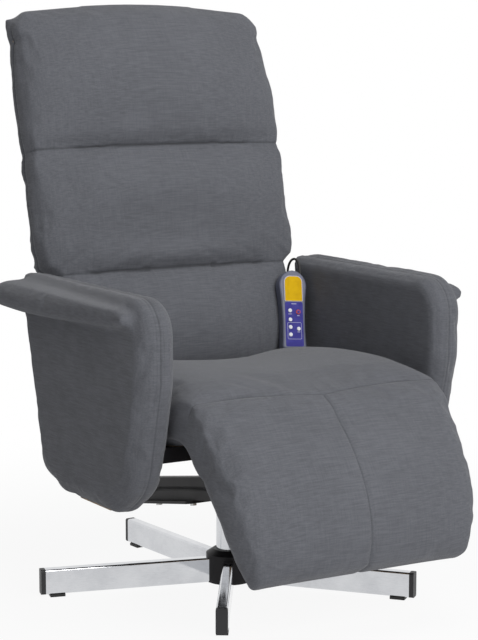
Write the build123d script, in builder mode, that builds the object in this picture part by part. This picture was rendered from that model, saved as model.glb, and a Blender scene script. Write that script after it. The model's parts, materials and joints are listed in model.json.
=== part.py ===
from build123d import *
import math
import os

os.makedirs("parts", exist_ok=True)

# A massage recliner, in millimetres. +X is the sitter's left, the front faces -Y, and the
# floor is z = 0. The seat turns on a five-legged base, and the back and the legrest hinge on it.

# Clearances
fit_gap = 0.1        # between rigid pieces that nest
soft_gap = 0.3       # between a soft piece and what it rests on
turn_gap = 0.05      # round a pin or shaft that turns
side_play = 0.5      # beside a hinge plate that turns
overrun = 4.0        # how far a cutting shape runs past a face

# Base
swivel_y = 38.0
leg_count = 5
leg_reach = 340.0
leg_height = 44.0
leg_width = 20.0
leg_wall = 1.6
leg_corner = 3.5
leg_start = 28.0
star_turn = 93.2
pad_height = 5.0
pad_length = 26.0
pad_setback = 16.0
cap_length = 8.0
cap_plug = 16.0
hub_radius = 41.0
hub_top = 55.0
hub_collar_radius = 29.0
hub_collar_height = 8.0
leg_screw_head = 5.0
leg_screw_reach = 34.0

# Column and swivel
column_radius = 23.0
column_wall = 2.5
column_bottom = 11.0
column_top = 144.0
bush_bore = 12.5
bush_bottom = 70.0
bush_flange = 3.0
washer_height = 2.0
spindle_bottom = 58.0
collar_radius = 30.0
ring_height = 3.0
ring_outer = 17.0
ring_wall = 0.6
mechanism_tilt = 10.8
plate_seat = 158.0
plate_length = 176.0
plate_width = 262.0
plate_height = 5.0
plate_corner = 14.0

# Side rails
rail_x = 120.0
rail_height = 40.0
rail_flange = 24.0
rail_wall = 3.0
rail_bead = 4.0
rail_bolt_share = 0.765
rail_front = -226.0
rail_rear = 150.0
bolt_radius = 3.3
bolt_head_radius = 6.2
bolt_head_height = 5.0
plate_bolt_y = 62.0

# Cross bars
bar_size = 25.0
bar_wall = 2.0
bar_bottom = 278.0
front_bar_y = -151.0
rear_bar_y = 127.0
riser_wall = 4.0
riser_width = 44.0
riser_foot = 13.0
ear_wall = 5.0
flange_size = 58.0
flange_wall = 4.0
arm_bolt_pitch = 38.0
arm_bolt_radius = 3.0
arm_bolt_head = 5.5
arm_bolt_reach = 14.0

# Seat
board_height = 15.0
board_half_width = 228.0
board_front = -162.0
board_rear = 137.0
board_corner = 20.0
seat_half_width = 243.0
seat_edge_draw = 8.0
seat_edge_band = 22.0
seat_side_top = 397.0
seat_crown = 4.0
seat_dome = 6.0
seat_rear_lean = 4.0
seat_drop_centre = 10.0
seat_drop_side = 20.0
side_bulge = 3.0
seat_rear_centre = 96.0
seat_rear_side = 167.0
motor_radius = 25.0
motor_height = 22.0
motor_lip = 4.0
motor_base = 6.0
motor_room = 1.5
seat_motor_x = 110.0
seat_motor_y = -86.0

# Legrest hinge and legrest
knee_y = -212.0
knee_z = 300.0
knee_upper_angle = 78.5
knee_gap_angle = 0.4
knee_pin_radius = 4.0
knee_eye_radius = 11.0
knee_eye_width = 16.0
knee_x = 150.0
knee_clear = 15.0
knee_half_width = 239.0
leg_lean = 31.5
leg_rest_rear = 17.0
leg_rest_length = 250.0
leg_rest_draw = 9.0
leg_board_height = 10.0
leg_board_half_width = 186.0
leg_board_start = 30.0
leg_board_end = 216.0
leg_foot_half_width = 210.0
knee_side = 108.0
knee_top_side = 97.0
knee_ease = 0.5
knee_crown = 5.0
foot_side = 74.0
leg_crown = 14.0
leg_mid_share = 0.35
leg_low_share = 0.9
leaf_wall = 4.0
leaf_length = 60.0
leaf_width = 40.0

# Arms
arm_inner_x = 250.0
arm_thickness = 62.5
arm_top = 553.0
arm_edge_round = 22.0
arm_front = -227.0
arm_rear = 240.0
arm_bottom = 187.0
core_thickness = 18.0
core_inset = 26.0
core_tongue_front = -68.0
core_tongue_rear = 42.0
roll_overhang = 58.0
roll_height = 46.0
roll_front = -193.0
roll_rear = 221.0
roll_tip_overhang = 22.0
roll_tip_height = 26.0
roll_tip_drop = 10.0
roll_swell_power = 0.7

# Backrest
back_lean = 14.5
pivot_y = 188.0
pivot_z = 300.0
pivot_radius = 5.0
eye_radius = 16.0
hinge_x = 206.0
hinge_wall = 5.0
hinge_flange = 30.0
hinge_flange_top = 150.0
hinge_neck = 38.0
pin_head_radius = 8.0
pin_head_height = 4.0
back_bottom = 40.0
lumbar_seam = 245.0
head_seam = 471.0
back_top = 733.0
back_low_half_width = 232.0
back_half_width = 267.0
back_top_half_width = 250.0
shoulder_height = 252.0
shoulder_top = 270.0
shoulder_share = 0.8
back_board_rear = -27.0
back_board_height = 12.0
back_board_margin = 16.0
back_cover_rear = -40.0
back_cover_height = 6.0
side_front = 22.0
seam_draw = 15.0
lumbar_crown = 44.0
middle_crown = 30.0
head_crown = 34.0
seam_crown = 16.0
seam_narrow = 7.0
seam_side_draw = 4.0
full_share = 0.75
head_low_share = 0.25
head_high_share = 0.65
corner_round = 46.0
board_low = 50.0
board_high = 712.0
back_pad_draw = 26.0
back_motor_x = 130.0
upper_motor_height = 527.0
lumbar_motor_height = 285.0

# Control box under the seat
box_width = 120.0
box_length = 84.0
box_height = 36.0
box_y = 69.0
box_corner = 6.0
inlet_radius = 5.5
inlet_bore = 3.0
inlet_length = 10.0
inlet_pin_radius = 1.0
gland_radius = 6.0
gland_length = 9.0
gland_lip = 2.0

# Handset
handset_x = 203.0
handset_y = 156.0
handset_z = 384.0
handset_turn = 11.0
handset_lean = 16.0
handset_roll = 4.0
handset_length = 148.0
handset_foot_width = 47.0
handset_waist_width = 45.0
handset_head_width = 52.0
handset_depth = 24.0
handset_edge = 4.0
panel_height = 1.2
panel_stand = 0.4
upper_panel_width = 40.0
upper_panel_length = 52.0
upper_panel_top = 141.0
key_panel_width = 35.0
key_panel_length = 83.0
key_panel_top = 88.0
key_radius = 3.7
power_key_radius = 4.4
key_stand = 1.6
key_depth = 5.0
key_travel = 1.0
key_play = 0.25
key_column_x = 8.0
relief_length = 14.0
relief_radius = 4.0
relief_taper = 0.8
relief_x = 19.0
relief_start = 130.0
cord_bend_share = 0.45
foot_corner = 7.0
waist_share = 0.42
head_share = 0.75
panel_corner = 3.0
cord_diameter = 4.5
cord_gap = 0.3
cord_sag = 8.0
relief_run = 10.0


def save(piece, name):
    piece.part.label = name
    export_step(piece.part, f"parts/{name}.step")


def polar_point(origin, radius, angle):
    # a point ahead of and above an axis, its angle measured up from straight ahead
    y, z = origin
    return (y - radius * math.cos(math.radians(angle)), z + radius * math.sin(math.radians(angle)))


# Derived places
leg_bottom = pad_height
bush_outer = column_radius - column_wall - fit_gap
column_bore = column_radius - column_wall
spindle_radius = bush_bore - turn_gap
bush_top = column_top + bush_flange
washer_top = bush_top + fit_gap + washer_height
tilt = math.radians(mechanism_tilt)
mechanism = Plane(origin=(0, swivel_y, plate_seat), x_dir=(1, 0, 0), z_dir=(0, math.sin(tilt), math.cos(tilt)))
rail_base = plate_height
bar_top = bar_bottom + bar_size
board_top = bar_top + board_height
arm_outer_x = arm_inner_x + arm_thickness
core_inner_x = arm_inner_x + (arm_thickness - core_thickness) / 2
lean = math.radians(back_lean)
back_up = (0, math.sin(lean), math.cos(lean))
back_ahead = (0, -math.cos(lean), math.sin(lean))
bar_end = core_inner_x - flange_wall


def leg_turn(index):
    return star_turn + index * 360 / leg_count


def leg_plane(index, along, height=0.0):
    # a plane across a leg, at a distance from the swivel axis, facing outwards
    turn = math.radians(leg_turn(index))
    outward = (math.cos(turn), math.sin(turn), 0)
    place = (along * outward[0], swivel_y + along * outward[1], height)
    return Plane(origin=place, x_dir=(-outward[1], outward[0], 0), z_dir=outward)


leg_mid = leg_bottom + leg_height / 2

# Hub: a casting with a socket for each leg and a bore for the column
with BuildPart() as base_hub:
    with BuildSketch(Plane.XZ.offset(-swivel_y)):
        with BuildLine():
            Polyline(
                (0, leg_bottom), (hub_radius, leg_bottom), (hub_radius, hub_top),
                (hub_collar_radius, hub_top + hub_collar_height), (0, hub_top + hub_collar_height), close=True,
            )
        make_face()
    revolve(axis=Axis((0, swivel_y, 0), (0, 0, 1)))
    with BuildSketch(Plane.XY.offset(column_bottom)):
        with Locations((0, swivel_y)):
            Circle(column_radius + fit_gap)
    extrude(amount=hub_top, mode=Mode.SUBTRACT)
    for index in range(leg_count):
        with BuildSketch(leg_plane(index, leg_start - fit_gap, leg_mid)):
            RectangleRounded(leg_width + 2 * fit_gap, leg_height + 2 * fit_gap, leg_corner + fit_gap)
        extrude(amount=hub_radius, mode=Mode.SUBTRACT)
save(base_hub, "base_hub")

# Legs: rectangular tube, one in each socket
for index in range(leg_count):
    with BuildPart() as leg:
        with BuildSketch(leg_plane(index, leg_start, leg_mid)):
            RectangleRounded(leg_width, leg_height, leg_corner)
            RectangleRounded(leg_width - 2 * leg_wall, leg_height - 2 * leg_wall, leg_corner - leg_wall, mode=Mode.SUBTRACT)
        extrude(amount=leg_reach - cap_length - leg_start)
    save(leg, f"leg_{index + 1}")

# End caps: a plug inside each tube and a rounded outer block
with BuildPart() as leg_end_caps:
    for index in range(leg_count):
        with BuildSketch(leg_plane(index, leg_reach - cap_length, leg_mid)):
            RectangleRounded(leg_width, leg_height, leg_corner)
        extrude(amount=cap_length)
        inner = leg_width - 2 * leg_wall - 2 * fit_gap, leg_height - 2 * leg_wall - 2 * fit_gap
        with BuildSketch(leg_plane(index, leg_reach - cap_length - cap_plug, leg_mid)):
            RectangleRounded(inner[0], inner[1], leg_corner - leg_wall)
        extrude(amount=cap_plug)
save(leg_end_caps, "leg_end_caps")

# Foot pads under the tubes, set back from the tips
with BuildPart() as foot_pads:
    for index in range(leg_count):
        with BuildSketch(leg_plane(index, leg_reach - pad_setback - pad_length, pad_height / 2)):
            Rectangle(leg_width, pad_height)
        extrude(amount=pad_length)
save(foot_pads, "foot_pads")

# Column: a plain tube standing in the hub
with BuildPart() as column_tube:
    with BuildSketch(Plane.XY.offset(column_bottom)):
        with Locations((0, swivel_y)):
            Circle(column_radius)
            Circle(column_bore, mode=Mode.SUBTRACT)
    extrude(amount=column_top - column_bottom)
save(column_tube, "column_tube")

# Flanged bush in the top of the column
with BuildPart() as swivel_bush:
    with BuildSketch(Plane.XY.offset(bush_bottom)):
        with Locations((0, swivel_y)):
            Circle(bush_outer)
    extrude(amount=column_top - bush_bottom)
    with BuildSketch(Plane.XY.offset(column_top)):
        with Locations((0, swivel_y)):
            Circle(column_radius)
    extrude(amount=bush_flange)
    with BuildSketch(Plane.XY.offset(bush_bottom)):
        with Locations((0, swivel_y)):
            Circle(bush_bore)
    extrude(amount=bush_top - bush_bottom, mode=Mode.SUBTRACT)
save(swivel_bush, "swivel_bush")

with BuildPart() as thrust_washer:
    with BuildSketch(Plane.XY.offset(bush_top)):
        with Locations((0, swivel_y)):
            Circle(column_radius)
            Circle(bush_bore + side_play, mode=Mode.SUBTRACT)
    extrude(amount=washer_height)
save(thrust_washer, "thrust_washer")

# Spindle: a shaft in the bush under a wedge-topped collar
with BuildPart() as swivel_spindle:
    with BuildSketch(Plane.XY.offset(spindle_bottom)):
        with Locations((0, swivel_y)):
            Circle(spindle_radius)
    extrude(amount=washer_top - spindle_bottom)
    with BuildSketch(Plane.XY.offset(washer_top)):
        with Locations((0, swivel_y)):
            Circle(collar_radius)
    extrude(amount=collar_radius)
    split(bisect_by=mechanism, keep=Keep.BOTTOM)
    with BuildSketch(Plane.XY.offset(bush_bottom - side_play - ring_height)):
        with Locations((0, swivel_y)):
            Circle(ring_outer)
            Circle(spindle_radius - ring_wall, mode=Mode.SUBTRACT)
    extrude(amount=ring_height, mode=Mode.SUBTRACT)
save(swivel_spindle, "swivel_spindle")

with BuildPart() as retaining_ring:
    with BuildSketch(Plane.XY.offset(bush_bottom - side_play - ring_height)):
        with Locations((0, swivel_y)):
            Circle(ring_outer)
            Circle(spindle_radius - ring_wall, mode=Mode.SUBTRACT)
    extrude(amount=ring_height)
save(retaining_ring, "retaining_ring")

# Swivel plate: tilted back with the rails that stand on it
bolt_places = [(side * (rail_x - rail_flange / 2), end * plate_bolt_y) for side in (-1, 1) for end in (-1, 1)]
with BuildPart() as swivel_plate:
    with BuildSketch(mechanism):
        RectangleRounded(plate_width, plate_length, plate_corner)
        with Locations(*bolt_places):
            Circle(bolt_radius + fit_gap, mode=Mode.SUBTRACT)
    extrude(amount=plate_height)
save(swivel_plate, "swivel_plate")

# Side rails: channels that open inwards, with a pressed bead along the web
for side, name in ((-1, "rail_right"), (1, "rail_left")):
    web = side * rail_x
    inside = -side * rail_wall
    lip = -side * rail_flange
    mid = rail_base + rail_height / 2
    with BuildPart() as rail:
        with BuildSketch(Plane(mechanism.from_local_coords(Vector(0, rail_front, 0)), x_dir=(1, 0, 0), z_dir=mechanism.y_dir)):
            with BuildLine():
                Polyline(
                    (web, -rail_base), (web, -mid + rail_bead), (web + inside, -mid), (web, -mid - rail_bead),
                    (web, -rail_base - rail_height), (web + lip, -rail_base - rail_height),
                    (web + lip, -rail_base - rail_height + rail_wall),
                    (web + inside, -rail_base - rail_height + rail_wall),
                    (web + inside, -mid - rail_bead), (web + 2 * inside, -mid), (web + inside, -mid + rail_bead),
                    (web + inside, -rail_base - rail_wall), (web + lip, -rail_base - rail_wall),
                    (web + lip, -rail_base), close=True,
                )
            make_face()
        extrude(amount=rail_rear - rail_front)
        with BuildSketch(mechanism):
            with Locations(*[place for place in bolt_places if place[0] * side > 0]):
                Circle(bolt_radius + fit_gap)
        extrude(amount=rail_base + rail_height / 2, mode=Mode.SUBTRACT)
        for bar_y in (front_bar_y, rear_bar_y):
            drop = (swivel_y - bar_y) * math.tan(tilt) + plate_seat + (rail_base + rail_height * rail_bolt_share) / math.cos(tilt)
            with BuildSketch(Plane.YZ.offset(web - side * 2 * rail_wall)):
                with Locations((bar_y, drop)):
                    Circle(bolt_radius + fit_gap)
            extrude(amount=side * (2 * rail_wall + overrun), mode=Mode.SUBTRACT)
    save(rail, name)


def riser_hole(bar_y):
    # the height of the bolt that holds a riser, on the upper half of the rail's web
    along = (swivel_y - bar_y) * math.tan(tilt)
    return plate_seat + along + (rail_base + rail_height * rail_bolt_share) / math.cos(tilt)


# Cross bars: square tubes with welded risers down to the rails
def cross_bar(bar_y):
    with BuildSketch(Plane.YZ.offset(-bar_end)) as tube:
        with Locations((bar_y, bar_bottom + bar_size / 2)):
            Rectangle(bar_size, bar_size)
            Rectangle(bar_size - 2 * bar_wall, bar_size - 2 * bar_wall, mode=Mode.SUBTRACT)
    extrude(tube.sketch, amount=2 * bar_end)
    for side in (-1, 1):
        low = riser_hole(bar_y) - riser_foot
        with BuildSketch(Plane.YZ.offset(side * rail_x)) as riser:
            with Locations((bar_y, (low + bar_bottom) / 2)):
                Rectangle(riser_width, bar_bottom - low)
            with Locations((bar_y, riser_hole(bar_y))):
                Circle(bolt_radius + fit_gap, mode=Mode.SUBTRACT)
        extrude(riser.sketch, amount=side * riser_wall)
        with BuildSketch(Plane.YZ.offset(side * bar_end)) as flange:
            with Locations((bar_y, bar_bottom + bar_size / 2)):
                Rectangle(flange_size, flange_size)
                with Locations((0, -arm_bolt_pitch / 2), (0, arm_bolt_pitch / 2)):
                    Circle(arm_bolt_radius + fit_gap, mode=Mode.SUBTRACT)
        extrude(flange.sketch, amount=side * flange_wall)


with BuildPart() as front_cross_bar:
    cross_bar(front_bar_y)
    bar_face = front_bar_y - bar_size / 2
    for ear_x in [side * knee_x + end * (knee_eye_width / 2 + side_play) for side in (-1, 1) for end in (-1, 1)]:
        away = 1 if abs(ear_x) > knee_x else -1
        with BuildSketch(Plane.YZ.offset(ear_x)):
            with Locations((knee_y, knee_z)):
                Circle(knee_eye_radius)
            with Locations((bar_face - fit_gap, bar_bottom + bar_size / 2)):
                Rectangle(2 * fit_gap, bar_size)
            make_hull()
            with Locations((knee_y, knee_z)):
                Circle(knee_pin_radius + fit_gap, mode=Mode.SUBTRACT)
        extrude(amount=math.copysign(ear_wall, ear_x) * away)
save(front_cross_bar, "front_cross_bar")

with BuildPart() as rear_cross_bar:
    cross_bar(rear_bar_y)
    bar_face = rear_bar_y + bar_size / 2
    for side in (-1, 1):
        with BuildSketch(Plane.YZ.offset(side * (hinge_x + hinge_wall + side_play))):
            with Locations((pivot_y, pivot_z)):
                Circle(eye_radius)
            with Locations((bar_face + fit_gap, bar_bottom + bar_size / 2)):
                Rectangle(2 * fit_gap, bar_size)
            make_hull()
            with Locations((pivot_y, pivot_z)):
                Circle(pivot_radius + fit_gap, mode=Mode.SUBTRACT)
        extrude(amount=side * hinge_wall)
save(rear_cross_bar, "rear_cross_bar")

# Bolts of the mechanism: four up through the plate and four through the risers
with BuildPart() as mechanism_bolts:
    for place in bolt_places:
        base = Plane(mechanism.from_local_coords(Vector(place[0], place[1], 0)), x_dir=(1, 0, 0), z_dir=mechanism.z_dir)
        with BuildSketch(base):
            RegularPolygon(bolt_head_radius, 6)
        extrude(amount=-bolt_head_height)
        with BuildSketch(base):
            Circle(bolt_radius)
        extrude(amount=plate_height + rail_wall + bolt_head_height)
        with BuildSketch(base.offset(plate_height + rail_wall)):
            RegularPolygon(bolt_head_radius, 6)
        extrude(amount=bolt_head_height)
    for bar_y in (front_bar_y, rear_bar_y):
        for side in (-1, 1):
            for start, reach, sides in ((rail_x + riser_wall, bolt_head_height, 6), (rail_x - rail_wall, -bolt_head_height, 6)):
                with BuildSketch(Plane.YZ.offset(side * start)):
                    with Locations((bar_y, riser_hole(bar_y))):
                        RegularPolygon(bolt_head_radius, sides)
                extrude(amount=side * reach)
            with BuildSketch(Plane.YZ.offset(side * (rail_x - rail_wall))):
                with Locations((bar_y, riser_hole(bar_y))):
                    Circle(bolt_radius)
            extrude(amount=side * (rail_wall + riser_wall))
save(mechanism_bolts, "mechanism_bolts")

# Seat board on the bars
with BuildPart() as seat_board:
    with BuildSketch(Plane.XY.offset(bar_top)):
        with Locations((0, (board_front + board_rear) / 2)):
            RectangleRounded(2 * board_half_width, board_rear - board_front, board_corner)
    extrude(amount=board_height)
save(seat_board, "seat_board")


def motor(plane):
    # a vibration motor: a round foot with a capsule on it
    with BuildSketch(plane) as foot:
        Circle(motor_radius)
    extrude(foot.sketch, amount=motor_base)
    with BuildSketch(plane.offset(motor_base)) as capsule:
        Circle(motor_radius - motor_lip)
    extrude(capsule.sketch, amount=motor_height - motor_base)


def motor_pocket(plane):
    with BuildSketch(plane.offset(-soft_gap)) as room:
        Circle(motor_radius + motor_room)
    extrude(room.sketch, amount=motor_height + motor_room, mode=Mode.SUBTRACT)


# Seat cushion: crowned across and along, drawn in at its sides, with pockets for the motors
seat_motor_planes = [Plane((side * seat_motor_x, seat_motor_y, board_top)) for side in (-1, 1)]
seat_base = board_top + soft_gap


def seat_section(x, rise, rear, drop):
    low = seat_base
    high = seat_side_top + rise
    knee = (knee_y, knee_z)
    up = math.sin(math.radians(knee_upper_angle))
    front_low = polar_point(knee, (low - knee_z) / up, knee_upper_angle)
    front_high = polar_point(knee, (high - knee_z) / up, knee_upper_angle)
    with BuildSketch(Plane.YZ.offset(x)) as section:
        with BuildLine():
            Line((rear, low), front_low)
            Line(front_low, front_high)
            ThreePointArc(front_high, ((knee_y + rear) / 2, high + seat_dome), (rear - seat_rear_lean, high - drop))
            Line((rear - seat_rear_lean, high - drop), (rear, low))
        make_face()
    return section.sketch


with BuildPart() as seat_cushion:
    band = seat_half_width - seat_edge_band
    loft(sections=[
        seat_section(-seat_half_width, -seat_edge_draw, seat_rear_side - seat_edge_draw / 2, seat_drop_side),
        seat_section(-band, 0, seat_rear_side, seat_drop_side),
        seat_section(0, seat_crown, seat_rear_centre, seat_drop_centre),
        seat_section(band, 0, seat_rear_side, seat_drop_side),
        seat_section(seat_half_width, -seat_edge_draw, seat_rear_side - seat_edge_draw / 2, seat_drop_side),
    ])
    for plane in seat_motor_planes:
        motor_pocket(plane)
save(seat_cushion, "seat_cushion")

with BuildPart() as seat_motors:
    for plane in seat_motor_planes:
        motor(plane)
save(seat_motors, "seat_motors")


def pad_section(plane, half_width, rear, side, crown):
    # an outline across a pad: flat rear, slightly full sides and an arched front
    with BuildSketch(plane) as section:
        with BuildLine():
            Line((-half_width, rear), (half_width, rear))
            ThreePointArc((half_width, rear), (half_width + side_bulge, (rear + side) / 2), (half_width, side))
            ThreePointArc((half_width, side), (0, side + crown), (-half_width, side))
            ThreePointArc((-half_width, side), (-half_width - side_bulge, (rear + side) / 2), (-half_width, rear))
        make_face()
    return section.sketch


def knee_plane(angle):
    # a plane through the knee axis, its own y pointing away from the axis
    turn = math.radians(angle)
    return Plane(origin=(0, knee_y, knee_z), x_dir=(1, 0, 0), z_dir=(0, -math.sin(turn), -math.cos(turn)))


# Knee cushion: the fold of padding between the seat and the legrest
with BuildPart() as knee_cushion:
    upper = knee_upper_angle - knee_gap_angle
    lower = leg_lean + knee_gap_angle
    middle = (upper + lower) / 2
    loft(sections=[
        pad_section(knee_plane(lower), knee_half_width, knee_clear, knee_top_side, knee_crown),
        pad_section(knee_plane(middle), knee_half_width, knee_clear, knee_top_side - knee_ease, knee_crown),
        pad_section(knee_plane(upper), knee_half_width, knee_clear, knee_top_side - 2 * knee_ease, knee_crown),
    ])
save(knee_cushion, "knee_cushion")


# Legrest: a board behind a pad that tapers towards the foot
leg_top_plane = knee_plane(leg_lean)
leg_face = Plane(origin=(0, knee_y, knee_z), x_dir=(1, 0, 0), z_dir=leg_top_plane.y_dir)
leg_pad_rear = leg_rest_rear + soft_gap

with BuildPart() as leg_cushion:
    loft(sections=[pad_section(leg_top_plane.offset(place), width, rear, side, crown) for place, width, rear, side, crown in (
        (0, knee_half_width, leg_pad_rear, knee_top_side, knee_crown),
        (leg_mid_share * leg_rest_length, knee_half_width - leg_rest_draw, leg_pad_rear, knee_side, leg_crown),
        (leg_low_share * leg_rest_length, leg_foot_half_width, leg_pad_rear, foot_side, leg_crown * leg_low_share),
        (leg_rest_length, leg_foot_half_width - leg_rest_draw, leg_pad_rear,
         foot_side - 2 * leg_rest_draw, leg_rest_draw),
    )])
save(leg_cushion, "leg_cushion")

with BuildPart() as leg_board:
    with BuildSketch(leg_face.offset(leg_rest_rear)):
        with Locations((0, -(leg_board_start + leg_board_end) / 2)):
            RectangleRounded(2 * leg_board_half_width, leg_board_end - leg_board_start, board_corner)
    extrude(amount=-leg_board_height)
save(leg_board, "leg_board")

# Hinge leaves on the rear of the legrest board, each with an eye round its pin
with BuildPart() as leg_hinge:
    for side in (-1, 1):
        with BuildSketch(Plane.YZ.offset(side * knee_x - knee_eye_width / 2)):
            with Locations((knee_y, knee_z)):
                Circle(knee_eye_radius)
        extrude(amount=knee_eye_width)
        with BuildSketch(leg_face.offset(leg_rest_rear - leg_board_height)):
            with Locations((side * knee_x, -leg_board_start - leaf_length / 2)):
                Rectangle(leaf_width, leaf_length)
            with Locations((side * knee_x, -(leg_board_start + leaf_length) / 2)):
                Rectangle(knee_eye_width, leg_board_start + leaf_length)
        extrude(amount=-leaf_wall)
        with BuildSketch(Plane.YZ.offset(side * knee_x - knee_eye_width / 2)):
            with Locations((knee_y, knee_z)):
                Circle(knee_pin_radius + turn_gap)
        extrude(amount=knee_eye_width, mode=Mode.SUBTRACT)
save(leg_hinge, "leg_hinge")

with BuildPart() as legrest_pins:
    for side in (-1, 1):
        reach = knee_eye_width / 2 + side_play + ear_wall
        with BuildSketch(Plane.YZ.offset(side * knee_x - reach)):
            with Locations((knee_y, knee_z)):
                Circle(knee_pin_radius)
        extrude(amount=2 * reach)
        for end in (-1, 1):
            with BuildSketch(Plane.YZ.offset(side * knee_x + end * reach)):
                with Locations((knee_y, knee_z)):
                    Circle(knee_pin_radius + pin_head_height / 2)
            extrude(amount=end * pin_head_height / 2)
save(legrest_pins, "legrest_pins")


# Backrest: planes across it at a height above the pivot, and along it at a depth ahead of the pivot
def back_plane(height):
    place = (0, pivot_y + height * back_up[1], pivot_z + height * back_up[2])
    return Plane(origin=place, x_dir=(-1, 0, 0), z_dir=back_up)


def back_face(ahead):
    place = (0, pivot_y + ahead * back_ahead[1], pivot_z + ahead * back_ahead[2])
    return Plane(origin=place, x_dir=(1, 0, 0), z_dir=back_ahead)


def back_outline(margin, low, high):
    # a panel that widens above the arms and has rounded top corners
    with BuildLine() as outline:
        Polyline(
            (back_low_half_width - margin, low), (back_low_half_width - margin, shoulder_height),
            (back_half_width - margin, shoulder_top), (back_half_width - margin, high),
            (margin - back_half_width, high), (margin - back_half_width, shoulder_top),
            (margin - back_low_half_width, shoulder_height), (margin - back_low_half_width, low), close=True,
        )
    make_face(outline.edges())


back_pad_rear = back_cover_rear + back_cover_height + soft_gap
board_front_face = back_board_rear + back_board_height


def back_pad(sections):
    with BuildPart() as pad:
        loft(sections=[pad_section(back_plane(height), width, back_pad_rear, side, crown)
                       for height, width, side, crown in sections])
    return pad.part


seam_low = (lumbar_seam, back_low_half_width + seam_narrow, side_front - seam_side_draw, seam_crown)
seam_high = (head_seam, back_half_width - side_bulge, side_front - seam_side_draw, seam_crown)
lumbar_pad = back_pad([
    (back_bottom, back_low_half_width - seam_narrow, side_front - seam_draw, lumbar_crown / 2),
    (lumbar_seam / 2, back_low_half_width, side_front + seam_narrow, lumbar_crown),
    (lumbar_seam * shoulder_share, back_low_half_width + seam_narrow / 2, side_front + seam_narrow / 2,
     lumbar_crown - seam_narrow),
    seam_low,
])
middle_pad = back_pad([
    seam_low,
    (shoulder_height + seam_narrow, back_low_half_width + seam_narrow, side_front, seam_crown + seam_narrow),
    (shoulder_top + seam_narrow, back_half_width - seam_narrow / 2, side_front + seam_narrow / 2, middle_crown - seam_narrow),
    ((lumbar_seam + head_seam) / 2, back_half_width, side_front + seam_narrow, middle_crown),
    (lumbar_seam + (head_seam - lumbar_seam) * full_share, back_half_width, side_front + seam_narrow, middle_crown),
    seam_high,
])
head_pad = back_pad([
    seam_high,
    (head_seam + (back_top - head_seam) * head_low_share, back_half_width, side_front + seam_narrow, head_crown),
    (head_seam + (back_top - head_seam) * head_high_share, back_half_width - side_bulge, side_front, head_crown),
    (back_top - back_pad_draw, back_top_half_width, side_front - seam_draw, seam_crown),
    (back_top, back_top_half_width - back_pad_draw, -seam_draw / 2, seam_narrow),
])

upper_motor_planes = [back_face(board_front_face).shift_origin(
    back_face(board_front_face).from_local_coords(Vector(side * back_motor_x, upper_motor_height, 0))) for side in (-1, 1)]
lumbar_motor_planes = [back_face(board_front_face).shift_origin(
    back_face(board_front_face).from_local_coords(Vector(side * back_motor_x, lumbar_motor_height, 0))) for side in (-1, 1)]

with BuildPart() as back_cushion:
    add(lumbar_pad)
    add(middle_pad)
    add(head_pad)
    with BuildSketch(back_face(board_front_face + soft_gap)):
        back_outline(back_board_margin - soft_gap, back_bottom - overrun, board_high + soft_gap)
    extrude(amount=back_pad_rear - board_front_face - overrun, mode=Mode.SUBTRACT)
    for plane in upper_motor_planes + lumbar_motor_planes:
        motor_pocket(plane)
save(back_cushion, "back_cushion")

with BuildPart() as back_board:
    with BuildSketch(back_face(back_board_rear)):
        back_outline(back_board_margin, board_low, board_high)
    extrude(amount=back_board_height)
save(back_board, "back_board")

with BuildPart() as back_cover:
    with BuildSketch(back_face(back_cover_rear)):
        back_outline(seam_narrow, back_bottom, back_top - back_pad_draw)
    extrude(amount=back_cover_height)
    top_corners = back_cover.edges().filter_by(Axis(origin=(0, 0, 0), direction=back_ahead)).group_by(Axis.Z)[-1]
    fillet(top_corners, radius=corner_round)
save(back_cover, "back_cover")

for name, planes in (("upper_motors", upper_motor_planes), ("lumbar_motors", lumbar_motor_planes)):
    with BuildPart() as motors:
        for plane in planes:
            motor(plane)
    save(motors, name)

# Hinge arms: a flange on the rear of the back board and a web down to the pivot
for side, name in ((-1, "hinge_arm_right"), (1, "hinge_arm_left")):
    with BuildPart() as hinge_arm:
        with BuildSketch(Plane(origin=(side * hinge_x, pivot_y, pivot_z), x_dir=back_up, z_dir=(1, 0, 0))):
            Circle(eye_radius)
            with Locations((hinge_neck / 2, back_board_rear - flange_wall / 2)):
                Rectangle(hinge_neck, flange_wall)
            make_hull()
            Circle(pivot_radius + turn_gap, mode=Mode.SUBTRACT)
        extrude(amount=side * hinge_wall)
        with BuildSketch(back_face(back_board_rear)):
            with Locations((side * (hinge_x + hinge_wall - hinge_flange / 2), hinge_flange_top / 2 + eye_radius / 2)):
                Rectangle(hinge_flange, hinge_flange_top - eye_radius)
        extrude(amount=-flange_wall)
    save(hinge_arm, name)

with BuildPart() as recline_pins:
    for side in (-1, 1):
        start = hinge_x
        finish = hinge_x + 2 * hinge_wall + side_play
        for place, reach, radius in ((start - turn_gap, finish - start + turn_gap, pivot_radius),
                                     (start - turn_gap, -pin_head_height, pin_head_radius),
                                     (finish, pin_head_height, pin_head_radius)):
            with BuildSketch(Plane.YZ.offset(side * place)):
                with Locations((pivot_y, pivot_z)):
                    Circle(radius)
            extrude(amount=side * reach)
save(recline_pins, "recline_pins")


# Arms: a shield-shaped padded panel round a plywood core, with a roll along the outside of its top
arm_length = arm_rear - arm_front
arm_height = arm_top - arm_bottom
arm_outline_shares = [(1.0, 1.0), (0.83, 0.08), (0.66, 0.0), (0.26, -0.01), (0.09, 0.14), (0.0, 0.62), (0.0, 1.0)]
arm_round_shares = [0.0, 0.11, 0.11, 0.11, 0.22, 0.2, 0.13]


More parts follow.
